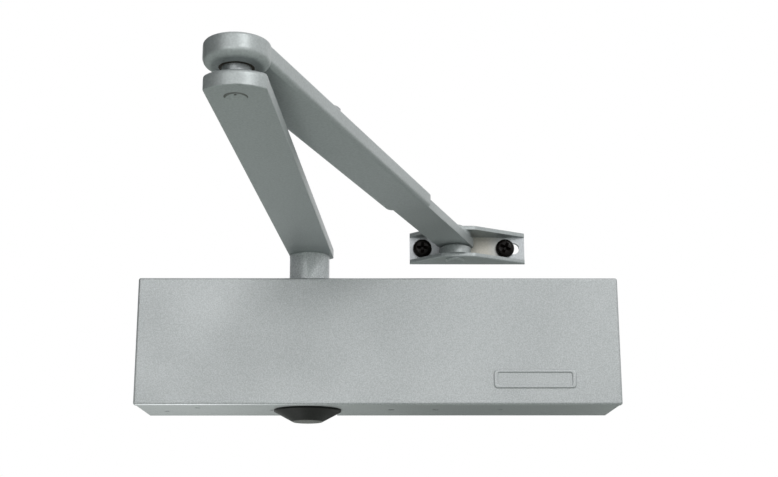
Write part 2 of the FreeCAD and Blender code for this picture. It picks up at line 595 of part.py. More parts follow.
def length_clamp_screw():
    low, high = CLAMP_LOW, CLAMP_LOW + CLAMP_HEAD
    head = turned([(0, low), (5.0, low), (5.0, high - 0.6), (4.4, high), (0, high)])
    shank = rod(CLAMP_RADIUS, BAR_TOP - GROOVE_DEPTH + LIFT, low + 1)
    screw = head.fuse(shank).cut(hexagon(5.0, high - 3.0, high + 1)).removeSplitter()
    screw.translate(Vector(CLAMP_PLACE, 0, 0))
    return turn_to(screw, FOREARM_ANGLE, ELBOW_X, ELBOW_Y)


def adjusting_bar():
    half = BAR_WIDTH / 2
    bar = box(BAR_START, FOREARM_LENGTH + BAR_END_REACH, -half, half, BAR_BOTTOM, BAR_TOP)
    bar = blunt_end(bar, FOREARM_LENGTH, half, BAR_END_REACH, BAR_END_RADIUS, BAR_CORNER, BAR_BOTTOM, BAR_TOP)
    bar = round_edges(bar, 0.4, lambda e: at_height(e, BAR_BOTTOM) or at_height(e, BAR_TOP))
    # The clamp screw's tip runs in a groove, which keeps the bar from pulling out
    groove = CLAMP_RADIUS + 0.3
    reach = LENGTH_TRAVEL + 0.3
    floor = BAR_TOP - GROOVE_DEPTH
    cuts = [box(CLAMP_PLACE - reach, CLAMP_PLACE + reach, -groove, groove, floor, BAR_TOP + 1)]
    for x in (CLAMP_PLACE - reach, CLAMP_PLACE + reach):
        cuts.append(rod(groove, floor, BAR_TOP + 1, x))
    cuts.append(rod(BRACKET_PIN_RADIUS + 1.5, BAR_BOTTOM - 1, BAR_TOP + 1, FOREARM_LENGTH))
    return turn_to(bar.cut(cuts), FOREARM_ANGLE, ELBOW_X, ELBOW_Y)


def eye_bush():
    return tube(BRACKET_PIN_RADIUS + RUN, BRACKET_PIN_RADIUS + 1.5 - SEAT, BAR_BOTTOM, BAR_TOP, PIVOT_X, PIVOT_Y)


def ear_outline():
    """The plan of the bracket about its pin: a straight back and two flanks that run to a blunt front."""
    ends = BRACKET_BACK - BRACKET_SHEET - BRACKET_BEND
    rise = ends + EAR_FRONT
    return [(BRACKET_RIGHT, BRACKET_BACK), (-BRACKET_LEFT, BRACKET_BACK), (-BRACKET_LEFT, ends),
            (-BRACKET_LEFT + rise / math.tan(LEFT_FLANK), -EAR_FRONT),
            (BRACKET_RIGHT - rise / math.tan(RIGHT_FLANK), -EAR_FRONT), (BRACKET_RIGHT, ends)]


def frame_bracket():
    block = prism(ear_outline(), BRACKET_LOW, BRACKET_HIGH)
    block.translate(Vector(PIVOT_X, PIVOT_Y, 0))
    block = round_edges(block, EAR_CORNER, lambda e: along(e, Vector(0, 0, 1)) and e.BoundBox.YMax < PIVOT_Y)
    block = round_edges(block, EAR_EASE, lambda e: (at_height(e, BRACKET_LOW) or at_height(e, BRACKET_HIGH)) and
                        e.BoundBox.YMax < BASE_FRONT and not along(e, Vector(0, 1, 0)))
    back = PIVOT_Y + BRACKET_BACK
    block = round_edges(block, BRACKET_BEND + 1.0, lambda e: along(e, Vector(1, 0, 0)) and
                        e.BoundBox.YMin > back - 0.01)
    hollow = box(PIVOT_X - BRACKET_LEFT - 1, PIVOT_X + BRACKET_RIGHT + 1, PIVOT_Y - EAR_FRONT - 1, BASE_FRONT,
                 BRACKET_LOW + BRACKET_SHEET, BRACKET_HIGH - BRACKET_SHEET)
    hollow = round_edges(hollow, BRACKET_BEND, lambda e: along(e, Vector(1, 0, 0)) and
                         e.BoundBox.YMin > BASE_FRONT - 0.01)
    cuts = [hollow, rod(BRACKET_PIN_RADIUS + SEAT, BRACKET_LOW - 1, BRACKET_HIGH + 1, PIVOT_X, PIVOT_Y)]
    hole = SCREW_RADIUS + 0.6
    cuts.append(rod_y(hole, BASE_FRONT - 1, back + 1, PIVOT_X - SCREW_LEFT, BRACKET_MIDDLE))
    # The right screw sits in a slot that allows for setting out
    low, high = PIVOT_X + SCREW_RIGHT - 1.2, PIVOT_X + SCREW_RIGHT + 4.5
    for x in (low, high):
        cuts.append(rod_y(hole, BASE_FRONT - 1, back + 1, x, BRACKET_MIDDLE))
    cuts.append(box(low, high, BASE_FRONT - 1, back + 1, BRACKET_MIDDLE - hole, BRACKET_MIDDLE + hole))
    return block.cut(cuts)


def bracket_pin():
    radius, head = BRACKET_PIN_RADIUS, 5.0
    low, high = BRACKET_LOW, BRACKET_HIGH
    return turned([(0, low - 1.1), (head - 0.9, low - 1.1), (head, low - 0.4), (head, low), (radius, low),
                   (radius, high), (head, high), (head, high + 0.4), (head - 0.9, high + 1.1), (0, high + 1.1)],
                  PIVOT_X, PIVOT_Y)


def lower_pivot_collar():
    """A thick ring on the ear, with a narrower neck that carries the bar."""
    bore, neck = BRACKET_PIN_RADIUS + SEAT, COLLAR_RADIUS - 1.6
    low, high = BRACKET_LOW + BRACKET_SHEET, BAR_BOTTOM - LIFT
    step = low + COLLAR_HEIGHT
    return turned([(bore, low), (COLLAR_RADIUS, low), (COLLAR_RADIUS, step), (neck, step), (neck, high),
                   (bore, high)], PIVOT_X, PIVOT_Y)


def upper_pivot_collar():
    return tube(BRACKET_PIN_RADIUS + SEAT, COLLAR_RADIUS, BAR_TOP + LIFT, BRACKET_HIGH - BRACKET_SHEET,
                PIVOT_X, PIVOT_Y)


def bracket_screws():
    screws = []
    back = PIVOT_Y + BRACKET_BACK
    head, high = SCREW_HEAD_RADIUS, SCREW_HEAD_HEIGHT
    for x in (-SCREW_LEFT, SCREW_RIGHT):
        screw = turned([(0, -high), (head - 1.5, -high), (head - 0.35, 0.7 - high), (head, 1.8 - high), (head, 0),
                        (SCREW_RADIUS - 0.3, 0),
                        (SCREW_RADIUS - 0.3, BRACKET_SHEET), (SCREW_RADIUS, BRACKET_SHEET),
                        (SCREW_RADIUS, BRACKET_SHEET + SCREW_LENGTH - 2),
                        (1.0, BRACKET_SHEET + SCREW_LENGTH), (0, BRACKET_SHEET + SCREW_LENGTH)])
        for a, b in ((SCREW_SLOT_REACH, SCREW_SLOT_WIDTH / 2), (SCREW_SLOT_WIDTH / 2, SCREW_SLOT_REACH)):
            screw = screw.cut(box(-a, a, -b, b, -high - 1, 1.6 - high))
        screw.rotate(Vector(0, 0, 0), Vector(1, 0, 0), -90)
        screw.translate(Vector(PIVOT_X + x, back - BRACKET_SHEET, BRACKET_MIDDLE))
        screws.append(screw)
    return Part.makeCompound(screws)


os.makedirs("parts", exist_ok=True)
pieces = {
    "front_cover": front_cover(),
    "body_casting": body_casting(),
    "lower_shaft_cap": lower_shaft_cap(),
    "upper_bearing": bearing(),
    "lower_bearing": mirrored(bearing()),
    "upper_bearing_nut": bearing_nut(),
    "lower_bearing_nut": mirrored(bearing_nut()),
    "upper_shaft_seal": shaft_seal(),
    "lower_shaft_seal": mirrored(shaft_seal()),
    "left_end_plug": left_end_plug(),
    "right_end_plug": right_end_plug(),
    "end_plug_seals": end_plug_seals(),
    "spring_seat": spring_seat(),
    "main_spring": main_spring(),
    "pinion_shaft": pinion_shaft(),
    "main_arm": main_arm(),
    "arm_screw_washer": arm_screw_washer(),
    "arm_screw": arm_screw(),
    "elbow_pin": elbow_pin(),
    "elbow_washer": elbow_washer(),
    "rack_piston": rack_piston(),
    "piston_rings": piston_rings(),
    "check_valve_ball": check_valve_ball(),
    "check_valve_retainer": check_valve_retainer(),
    "closing_speed_valve": regulating_valve(VALVE_X[0]),
    "closing_valve_seal": valve_seal(VALVE_X[0]),
    "latch_speed_valve": regulating_valve(VALVE_X[1]),
    "latch_valve_seal": valve_seal(VALVE_X[1]),
    "forearm_sleeve": forearm_sleeve(),
    "elbow_bush": elbow_bush(),
    "clamp_washer": clamp_washer(),
    "length_clamp_screw": length_clamp_screw(),
    "adjusting_bar": adjusting_bar(),
    "eye_bush": eye_bush(),
    "frame_bracket": frame_bracket(),
    "bracket_pin": bracket_pin(),
    "lower_pivot_collar": lower_pivot_collar(),
    "upper_pivot_collar": upper_pivot_collar(),
    "bracket_screws": bracket_screws(),
}
for name, piece in pieces.items():
    piece.exportStep("parts/" + name + ".step")
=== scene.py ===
import json
import math

import bmesh
import bpy
from mathutils import Matrix, Vector


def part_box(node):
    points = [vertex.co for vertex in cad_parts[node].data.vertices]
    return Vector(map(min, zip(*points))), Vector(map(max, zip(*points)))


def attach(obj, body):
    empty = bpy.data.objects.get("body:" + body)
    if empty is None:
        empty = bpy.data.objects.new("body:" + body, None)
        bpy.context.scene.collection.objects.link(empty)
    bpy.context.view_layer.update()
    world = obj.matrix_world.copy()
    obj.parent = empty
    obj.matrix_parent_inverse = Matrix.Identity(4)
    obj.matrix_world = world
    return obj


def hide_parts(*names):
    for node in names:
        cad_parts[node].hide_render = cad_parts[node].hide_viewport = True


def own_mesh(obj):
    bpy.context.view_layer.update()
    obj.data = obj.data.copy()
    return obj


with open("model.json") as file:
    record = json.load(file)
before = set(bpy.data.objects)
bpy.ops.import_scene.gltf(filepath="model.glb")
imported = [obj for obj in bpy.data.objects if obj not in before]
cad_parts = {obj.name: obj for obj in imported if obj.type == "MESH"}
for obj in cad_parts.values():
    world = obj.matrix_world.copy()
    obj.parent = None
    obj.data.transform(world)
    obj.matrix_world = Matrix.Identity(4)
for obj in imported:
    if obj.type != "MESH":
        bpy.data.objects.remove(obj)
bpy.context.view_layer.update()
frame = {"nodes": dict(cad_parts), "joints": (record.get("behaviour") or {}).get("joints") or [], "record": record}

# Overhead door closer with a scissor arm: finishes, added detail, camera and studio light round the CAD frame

scene = bpy.context.scene
nodes = frame["nodes"]
record = frame["record"]
MM = 0.001


# Shader building

EVEN = (1, 1, 1)


class Shader:
    """A Principled material that is built node by node, in the object's own coordinates."""

    def __init__(self, name):
        self.material = bpy.data.materials.new(name)
        self.material.use_nodes = True
        self.tree = self.material.node_tree
        self.principled = self.tree.nodes["Principled BSDF"]
        self.coordinates = self.add("ShaderNodeTexCoord").outputs["Object"]

    def add(self, kind, **values):
        node = self.tree.nodes.new(kind)
        for key, value in values.items():
            setattr(node, key, value)
        return node

    def link(self, output, socket):
        self.tree.links.new(output, socket)

    def drive(self, output, socket):
        self.link(output, self.principled.inputs[socket])

    def fixed(self, **values):
        """Sets sockets that are the same all over the surface."""
        for key, value in values.items():
            self.principled.inputs[key.replace("_", " ")].default_value = value

    def math(self, operation, first, second):
        """One arithmetic step, on outputs or on plain numbers."""
        node = self.add("ShaderNodeMath", operation=operation)
        for socket, value in zip(node.inputs, (first, second)):
            if isinstance(value, (int, float)):
                socket.default_value = value
            else:
                self.link(value, socket)
        return node.outputs["Value"]

    def axis(self, name):
        """The surface point's X, Y or Z in metres."""
        split = self.add("ShaderNodeSeparateXYZ")
        self.link(self.coordinates, split.inputs["Vector"])
        return split.outputs[name]

    def from_axis(self, x0, y0):
        """The surface point's distance from an upright axis."""
        across = self.math("SUBTRACT", self.axis("X"), x0)
        along = self.math("SUBTRACT", self.axis("Y"), y0)
        square = self.math("ADD", self.math("MULTIPLY", across, across), self.math("MULTIPLY", along, along))
        return self.math("POWER", square, 0.5)

    def noise(self, scale, detail, stretch=EVEN):
        """A noise pattern with about so many grains to the metre."""
        place = self.add("ShaderNodeMapping")
        place.inputs["Scale"].default_value = stretch
        self.link(self.coordinates, place.inputs["Vector"])
        texture = self.add("ShaderNodeTexNoise")
        texture.inputs["Scale"].default_value = scale
        texture.inputs["Detail"].default_value = detail
        self.link(place.outputs["Vector"], texture.inputs["Vector"])
        return texture.outputs["Fac"]

    def ramp(self, factor, stops):
        """The colour at the factor's place in a row of stops."""
        node = self.add("ShaderNodeValToRGB")
        ramp = node.color_ramp
        while len(ramp.elements) < len(stops):
            ramp.elements.new(0.5)
        for element, (place, colour) in zip(ramp.elements, stops):
            element.position = place
            element.color = (*colour, 1.0)
        self.link(factor, node.inputs["Fac"])
        return node.outputs["Color"]

    def spread(self, factor, low, high, start=0.3, end=0.7):
        """A value that goes from low to high while the factor goes from start to end."""
        node = self.add("ShaderNodeMapRange")
        node.inputs["From Min"].default_value = start
        node.inputs["From Max"].default_value = end
        node.inputs["To Min"].default_value = low
        node.inputs["To Max"].default_value = high
        self.link(factor, node.inputs["Value"])
        return node.outputs["Result"]

    def mix(self, factor, first, second):
        """The first colour where the factor is 0, and the second where it is 1."""
        node = self.add("ShaderNodeMix", data_type="RGBA")
        self.link(factor, node.inputs["Factor"])
        self.link(first, node.inputs["A"])
        self.link(second, node.inputs["B"])
        return node.outputs["Result"]

    def bump(self, height, depth, below=None):
        """A relief of the given depth in metres, over another one if there is one below."""
        node = self.add("ShaderNodeBump")
        node.inputs["Distance"].default_value = depth
        node.inputs["Strength"].default_value = 1.0
        self.link(height, node.inputs["Height"])
        if below is not None:
            self.link(below, node.inputs["Normal"])
        return node.outputs["Normal"]


FLECK_STOPS = (0.32, 0.68)
FINE_DETAIL, SLOW_DETAIL = 3.0, 2.0
CLOUD = 18.0
CLOUD_SHIFT = 0.5


def shade(colour, factor):
    """The colour, made darker or lighter."""
    return tuple(min(1.0, c * factor) for c in colour)


def flecks(shader, pattern, dark, light):
    """A colour that goes from dark to light over the middle of a noise pattern."""
    return shader.ramp(pattern, list(zip(FLECK_STOPS, (dark, light))))


def grain_colour(shader, colour, contrast, grain, stretch=EVEN, cloud=CLOUD):
    """Fine flecks whose tone drifts slowly over the surface, and the two patterns that make them."""
    fine = shader.noise(grain, FINE_DETAIL, stretch)
    slow = shader.noise(cloud, SLOW_DETAIL)
    light = flecks(shader, fine, shade(colour, 1 - contrast), shade(colour, 1 + contrast))
    deepest, palest = 1 - (1 + CLOUD_SHIFT) * contrast, 1 + (1 - CLOUD_SHIFT) * contrast
    dark = flecks(shader, fine, shade(colour, deepest), shade(colour, palest))
    return shader.mix(shader.spread(slow, 0.0, 1.0), light, dark), fine, slow


def finish(name, colour, contrast, grain, bump, rough, metallic=0.0, stretch=EVEN, specular=0.5):
    """A surface with fine flecks, a slow change of tone, uneven gloss and a slight relief in millimetres."""
    shader = Shader(name)
    tone, fine, slow = grain_colour(shader, colour, contrast, grain, stretch)
    shader.drive(tone, "Base Color")
    shader.drive(shader.spread(slow, *rough), "Roughness")
    shader.drive(shader.bump(fine, bump * MM), "Normal")
    shader.fixed(Metallic=metallic, Specular_IOR_Level=specular)
    return shader


# Places that several materials and pieces share

joint_at = {joint["name"]: joint for joint in frame["joints"]}
shaft = Vector(joint_at["arm_swing"]["pos_m"])
elbow = Vector(joint_at["elbow_pivot"]["pos_m"])
pivot = Vector(joint_at["bracket_pivot"]["pos_m"])


# Colours of the finishes

SILVER = (0.475, 0.495, 0.50)
ARM_GREY = (0.435, 0.465, 0.465)
METAL = 0.55
PALE_ZINC = (0.49, 0.51, 0.525)
# Cream painted highlight on the bracket's base plate beside the pivot
CREAM_HIGHLIGHT = (0.485, 0.47, 0.42)
CAP_BLACK = (0.0085, 0.009, 0.0078)
# Painted light: lighter greys for the cap's flat tip, where it catches light from the floor below
TIP_PAINTED_LIGHT = ((0.10, 0.10, 0.095), (0.14, 0.14, 0.13))
# Painted shade on the elbow rivet's dished end: a dark near edge and a dark middle
PAINTED_SHADE_TONES = ((0.11, 0.115, 0.105), (0.17, 0.175, 0.165))


# Main arm and forearm sleeve

HUB_REACH = 11.5 * MM
HUB_TOP_GAP = 0.3 * MM
HUB_METAL = 0.35
CAST_GRAIN = 1500.0
CAST_RELIEF = 0.06 * MM
# Cast skin of the hub: real blotches, in tones made lighter than the enamel as painted light against the shade
# under the arm
CAST_SKIN_AND_PAINTED_LIGHT = [(0.34, (0.54, 0.57, 0.575)), (0.52, (0.66, 0.69, 0.695)), (0.70, (0.80, 0.83, 0.835))]


def arm_enamel():
    """Silver enamel, over a hub that keeps the blotchy skin of its casting, coloured lighter than the enamel as
    painted light against the shade under the arm.
    """
    shader = Shader("silver_enamel")
    tone, fine, slow = grain_colour(shader, ARM_GREY, contrast=0.09, grain=1300.0, cloud=14.0)
    near = shader.math("LESS_THAN", shader.from_axis(shaft.x, shaft.y), HUB_REACH)
    below = shader.math("LESS_THAN", shader.axis("Z"), shaft.z - HUB_TOP_GAP)
    hub = shader.math("MULTIPLY", near, below)
    blotch = shader.noise(CAST_GRAIN, FINE_DETAIL)
    # Painted light: the hub's cast skin is coloured lighter to make up for the shade it stands in
    shader.drive(shader.mix(hub, tone, shader.ramp(blotch, CAST_SKIN_AND_PAINTED_LIGHT)), "Base Color")
    shader.drive(shader.spread(slow, 0.40, 0.48), "Roughness")
    skin = shader.bump(shader.math("MULTIPLY", blotch, hub), CAST_RELIEF)
    shader.drive(shader.bump(fine, depth=0.012 * MM, below=skin), "Normal")
    shader.drive(shader.spread(hub, METAL, HUB_METAL, 0.0, 1.0), "Metallic")
    return shader


# Frame bracket, whose painted highlight is measured from the pivot

BRACKET_SHEET = 2.1 * MM
BASE_FADE = (0.4 * MM, 0.1 * MM)
HIGHLIGHT_STARTS = (2.0 * MM, 7.0 * MM)
HIGHLIGHT_ENDS = (17.0 * MM, 27.0 * MM)
PALE_RANGE = (0.90, 1.08)
CREAM_HIGHLIGHT_RANGE = (0.93, 1.06)


def bracket_enamel():
    """Silver enamel that thins to pale zinc inside the base plate, with a cream painted highlight beside the
    pivot.
    """
    shader = Shader("bracket_enamel")
    tone, fine, slow = grain_colour(shader, ARM_GREY, contrast=0.10, grain=1200.0, cloud=30.0)
    pale = flecks(shader, fine, *(shade(PALE_ZINC, factor) for factor in PALE_RANGE))
    painted_highlight = flecks(shader, fine, *(shade(CREAM_HIGHLIGHT, factor) for factor in CREAM_HIGHLIGHT_RANGE))
    x, y = shader.axis("X"), shader.axis("Y")
    # Painted highlight: a cream band of the base plate beside the pivot
    starts = shader.spread(x, 0.0, 1.0, pivot.x + HIGHLIGHT_STARTS[0], pivot.x + HIGHLIGHT_STARTS[1])
    ends = shader.spread(x, 1.0, 0.0, pivot.x + HIGHLIGHT_ENDS[0], pivot.x + HIGHLIGHT_ENDS[1])
    base = shader.mix(shader.math("MULTIPLY", starts, ends), pale, painted_highlight)
    base_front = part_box("frame_bracket")[1].y - BRACKET_SHEET
    reached = shader.spread(y, 0.0, 1.0, base_front - BASE_FADE[0], base_front - BASE_FADE[1])
    facing = shader.math("LESS_THAN", y, base_front + BRACKET_SHEET / 2)
    inner = shader.math("MULTIPLY", reached, facing)
    shader.drive(shader.mix(inner, tone, base), "Base Color")
    shader.drive(shader.spread(slow, 0.40, 0.50), "Roughness")
    shader.drive(shader.bump(fine, depth=0.015 * MM), "Normal")
    shader.fixed(Metallic=METAL)
    return shader


# Rivets and pivot collars

DISH_RADIUS = 4.05 * MM
DISH_ZONE = 1.2 * MM
CRESCENT = 3.0 * MM
CRESCENT_BLUR = 0.3 * MM
PIP_OFFSET = 0.3 * MM
PIP_RADII = (0.35 * MM, 0.6 * MM)
DISH_METAL = 0.1


def rivet_enamel():
    """Silver enamel, with painted shade at the near edge and in the middle of the elbow rivet's dished end."""
    shader = Shader("rivet_enamel")
    tone, fine, _ = grain_colour(shader, ARM_GREY, contrast=0.12, grain=1100.0)
    low = shader.math("LESS_THAN", shader.axis("Z"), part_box("elbow_pin")[0].z + DISH_ZONE)
    inside = shader.math("LESS_THAN", shader.from_axis(elbow.x, elbow.y), DISH_RADIUS)
    dish = shader.math("MULTIPLY", low, inside)
    edge_at = shader.from_axis(elbow.x, elbow.y + CRESCENT)
    edge = shader.spread(edge_at, 0.0, 1.0, DISH_RADIUS - CRESCENT_BLUR, DISH_RADIUS + CRESCENT_BLUR)
    pip_at = shader.from_axis(elbow.x - PIP_OFFSET, elbow.y + PIP_OFFSET)
    pip = shader.spread(pip_at, 1.0, 0.0, *PIP_RADII)
    # Painted shade: a dark crescent on the near side of the dish and a dark spot round its middle pip
    painted_shade = shader.math("MULTIPLY", dish, shader.math("MAXIMUM", edge, pip))
    shader.drive(shader.mix(painted_shade, tone, flecks(shader, fine, *PAINTED_SHADE_TONES)), "Base Color")
    shader.drive(shader.spread(dish, 0.42, 0.62, 0.0, 1.0), "Roughness")
    shader.drive(shader.spread(dish, METAL, DISH_METAL, 0.0, 1.0), "Metallic")
    shader.drive(shader.bump(fine, depth=0.02 * MM), "Normal")
    return shader


# Cone cap under the shaft

TIP_ZONE = 0.2 * MM


def black_moulding():
    """Satin black, with painted light in grey on the flat tip, for the light it catches from the floor below."""
    shader = Shader("black_moulding")
    tone, fine, slow = grain_colour(shader, CAP_BLACK, contrast=0.25, grain=1100.0)
    tip = shader.math("LESS_THAN", shader.axis("Z"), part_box("lower_shaft_cap")[0].z + TIP_ZONE)
    # Painted light on the flat tip, standing in for the floor's light that it catches
    shader.drive(shader.mix(tip, tone, flecks(shader, fine, *TIP_PAINTED_LIGHT)), "Base Color")
    shader.drive(shader.spread(slow, 0.34, 0.46), "Roughness")
    shader.drive(shader.bump(fine, depth=0.012 * MM), "Normal")
    shader.fixed(Specular_IOR_Level=0.22)
    return shader


# Finishes, one for each slot of the record

TURNED = (0.2, 0.2, 3.0)
FINISHES = {
    "silver_cover": finish("silver_lacquer", SILVER, contrast=0.15, grain=1800.0, bump=0.012,
                           rough=(0.42, 0.50), metallic=METAL),
    "casting": finish("cast_aluminium", (0.50, 0.51, 0.52), contrast=0.16, grain=700.0, bump=0.06,
                      rough=(0.45, 0.65), metallic=0.8),
    "black_cap": black_moulding(),
    "silver_arm": arm_enamel(),
    "silver_bar": finish("bar_enamel", ARM_GREY, contrast=0.09, grain=1300.0, bump=0.012,
                         rough=(0.40, 0.48), metallic=METAL),
    "silver_bracket": bracket_enamel(),
    "silver_pin": rivet_enamel(),
    "black_screw": finish("black_oxide", (0.0065, 0.0048, 0.004), contrast=0.3, grain=1500.0, bump=0.01,
                          rough=(0.24, 0.34), specular=0.14),
    "zinc_screw": finish("bright_zinc", (0.40, 0.42, 0.43), contrast=0.12, grain=900.0, bump=0.01,
                         rough=(0.32, 0.46), metallic=0.9),
    "bright_steel": finish("turned_steel", (0.52, 0.53, 0.54), contrast=0.14, grain=700.0, bump=0.01,
                           rough=(0.22, 0.38), metallic=1.0, stretch=TURNED),
    "bearing_steel": finish("ground_steel", (0.46, 0.47, 0.49), contrast=0.14, grain=800.0, bump=0.008,
                            rough=(0.16, 0.30), metallic=1.0, stretch=TURNED),
    "spring_steel": finish("tempered_wire", (0.14, 0.14, 0.155), contrast=0.2, grain=900.0, bump=0.02,
                           rough=(0.30, 0.42), metallic=0.9),
    "brass_valve": finish("turned_brass", (0.66, 0.46, 0.16), contrast=0.12, grain=900.0, bump=0.01,
                          rough=(0.20, 0.34), metallic=1.0),
    # Oil-darkened bronze, coloured darker still as painted shade round the elbow pin
    "bronze_bush": finish("bronze_and_painted_shade", (0.075, 0.06, 0.042), contrast=0.25, grain=1500.0, bump=0.03,
                          rough=(0.45, 0.60), metallic=0.8),
    "seal_rubber": finish("nitrile_rubber", (0.018, 0.018, 0.018), contrast=0.25, grain=1200.0, bump=0.02,
                          rough=(0.55, 0.75)),
}

for entry in record["subparts"]:
    node = nodes[entry["node"]]
    node.data.materials.clear()
    node.data.materials.append(FINISHES[entry["material_slot"]].material)


# Mesh helpers

SHARP = math.radians(30)


def add_piece(name, mesh, slot, body, *replaced):
    """Puts a finished mesh in the scene as a piece of the object."""
    obj = bpy.data.objects.new(name, mesh)
    scene.collection.objects.link(obj)
    mesh.materials.clear()
    mesh.materials.append(FINISHES[slot].material)
    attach(obj, body)
    if replaced:
        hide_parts(*replaced)
    return obj


def skin_loops(mesh, loops):
    """Joins closed loops of equal length, given one after another, and caps the first and the last."""
    rows = [[mesh.verts.new(point) for point in loop] for loop in loops]
    count = len(rows[0])
    for low, high in zip(rows, rows[1:]):
        for i in range(count):
            j = (i + 1) % count
            mesh.faces.new((low[i], low[j], high[j], high[i]))
    mesh.faces.new(rows[0][::-1])
    mesh.faces.new(rows[-1])


def to_mesh(name, build):
    """Turns a bmesh into a mesh with outward faces and smooth shading below the sharp angle."""
    bmesh.ops.recalc_face_normals(build, faces=build.faces)
    for face in build.faces:
        face.smooth = True
    for edge in build.edges:
        edge.smooth = len(edge.link_faces) == 2 and edge.calc_face_angle(0.0) < SHARP
    mesh = bpy.data.meshes.new(name)
    build.to_mesh(mesh)
    build.free()
    return mesh


# Bare raised plate on the front of the cover

PLATE_SIZE = Vector((38.4, 8.5)) * MM
PLATE_CENTRE = Vector((72.75, -18.05)) * MM
PLATE_CORNER = 1.8 * MM
PLATE_SIDE_RIM = 1.95 * MM
PLATE_TOP_RIM = 1.3 * MM
PLATE_PROUD = 0.7 * MM
PLATE_FIELD = 0.15 * MM
PLATE_SUNK = 0.3 * MM
PLATE_ROUND = 0.42 * MM
ROUND_STEPS = 4
CORNER_STEPS = 6


def rounded_rectangle(half_x, half_z, corner):
    """The outline's points, as pairs of x and z round its middle."""
    points = []
    for k, (sx, sz) in enumerate(((1, 1), (-1, 1), (-1, -1), (1, -1))):
        for step in range(CORNER_STEPS + 1):
            angle = (k + step / CORNER_STEPS) * math.pi / 2
            points.append((sx * (half_x - corner) + corner * math.cos(angle),
                           sz * (half_z - corner) + corner * math.sin(angle)))
    return points


def plate_loop(half_x, half_z, corner, height):
    """One outline of the plate, at a height over the cover's front."""
    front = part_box("front_cover")[0].y
    outline = rounded_rectangle(half_x, half_z, corner)
    return [(PLATE_CENTRE.x + x, front - height, PLATE_CENTRE.y + z) for x, z in outline]


def bare_plate():
    """A plate with a rim that is rounded over outside and inside, round a sunk field."""
    half_x, half_z = PLATE_SIZE / 2
    field_x, field_z, field_corner = half_x - PLATE_SIDE_RIM, half_z - PLATE_TOP_RIM, PLATE_CORNER / 2
    loops = [plate_loop(half_x, half_z, PLATE_CORNER, -PLATE_SUNK)]
    quarter = [k * math.pi / 2 / ROUND_STEPS for k in range(ROUND_STEPS + 1)]
    for angle in quarter:
        inset, drop = PLATE_ROUND * (1 - math.cos(angle)), PLATE_ROUND * (1 - math.sin(angle))
        loops.append(plate_loop(half_x - inset, half_z - inset, PLATE_CORNER - inset, PLATE_PROUD - drop))
    for angle in reversed(quarter):
        inset, drop = PLATE_ROUND * (1 - math.cos(angle)), PLATE_ROUND * (1 - math.sin(angle))
        loops.append(plate_loop(field_x + inset, field_z + inset, field_corner + inset, PLATE_PROUD - drop))
    loops.append(plate_loop(field_x, field_z, field_corner, PLATE_FIELD))
    build = bmesh.new()
    skin_loops(build, loops)
    add_piece("bare_plate", to_mesh("bare_plate", build), "silver_cover", "closer_body")


bare_plate()


# Cross-slot screws of the bracket, with the turns of the left and the right slot in radians

SCREW_SIDES = 40
SCREW_HEAD = 3.0 * MM
HEAD_RADIUS = 4.9 * MM
HEAD_FLAT = 2.6 * MM
HEAD_CHAMFER = 0.15 * MM
HEAD_STEPS = 6
SCREW_NECK = 2.1 * MM
SCREW_CREST = 2.4 * MM
SCREW_ROOT = 1.75 * MM
SCREW_PITCH = 1.6 * MM
RIDGE_SHARE = 0.5
RINGS_PER_PITCH = 8
SCREW_POINT = 4.0 * MM
POINT_SHARE = 0.12
SLOT_REACH = (3.0 * MM, 0.7 * MM)
SLOT_HALF_WIDTH = (0.85 * MM, 0.4 * MM)
SLOT_ABOVE = 0.4 * MM
SLOT_MOUTH = 0.1 * MM
SLOT_DEPTH = 2.4 * MM
SLOT_TURNS = {-1: 0.05, 1: 0.45}


def ring(radius, depth):
    """A circle round the screw's axis, which runs into the frame along +Y."""
    angles = [2 * math.pi * k / SCREW_SIDES for k in range(SCREW_SIDES)]
    return [(radius * math.cos(a), depth, radius * math.sin(a)) for a in angles]


def head_rings():
    """A head with a flat middle, rounded over to an upright side."""
    rounding = HEAD_RADIUS - HEAD_FLAT
    rings = []
    for k in range(HEAD_STEPS + 1):
        angle = k * math.pi / 2 / HEAD_STEPS
        drop = rounding * (1 - math.cos(angle))
        rings.append(ring(HEAD_FLAT + rounding * math.sin(angle), drop - SCREW_HEAD))
    return rings + [ring(HEAD_RADIUS, -HEAD_CHAMFER), ring(HEAD_RADIUS - HEAD_CHAMFER, 0.0)]


def thread_ring(depth, start, end):
    """A section of the thread, whose ridge goes once round in each pitch and tapers at the point."""
    loop = []
    fade = min(1.0, (depth - start) / SCREW_PITCH)
    taper = min(1.0, max(POINT_SHARE, (end - depth) / SCREW_POINT))
    for k in range(SCREW_SIDES):
        angle = 2 * math.pi * k / SCREW_SIDES
        phase = ((depth - start) / SCREW_PITCH - k / SCREW_SIDES) % 1.0
        ridge = max(0.0, 1.0 - abs(phase - 0.5) * 2 / RIDGE_SHARE)
        radius = taper * (SCREW_ROOT + (SCREW_CREST - SCREW_ROOT) * ridge * fade)
        loop.append((radius * math.cos(angle), depth, radius * math.sin(angle)))
    return loop


def cross(reach, half_width, depth):
    """The outline of a cross at a depth along the screw's axis."""
    corners = [(half_width, half_width), (reach, half_width), (reach, -half_width)]
    points = []
    for k in range(4):
        for x, z in corners:
            for _ in range(k):
                x, z = z, -x
            points.append((x, depth, z))
    return points


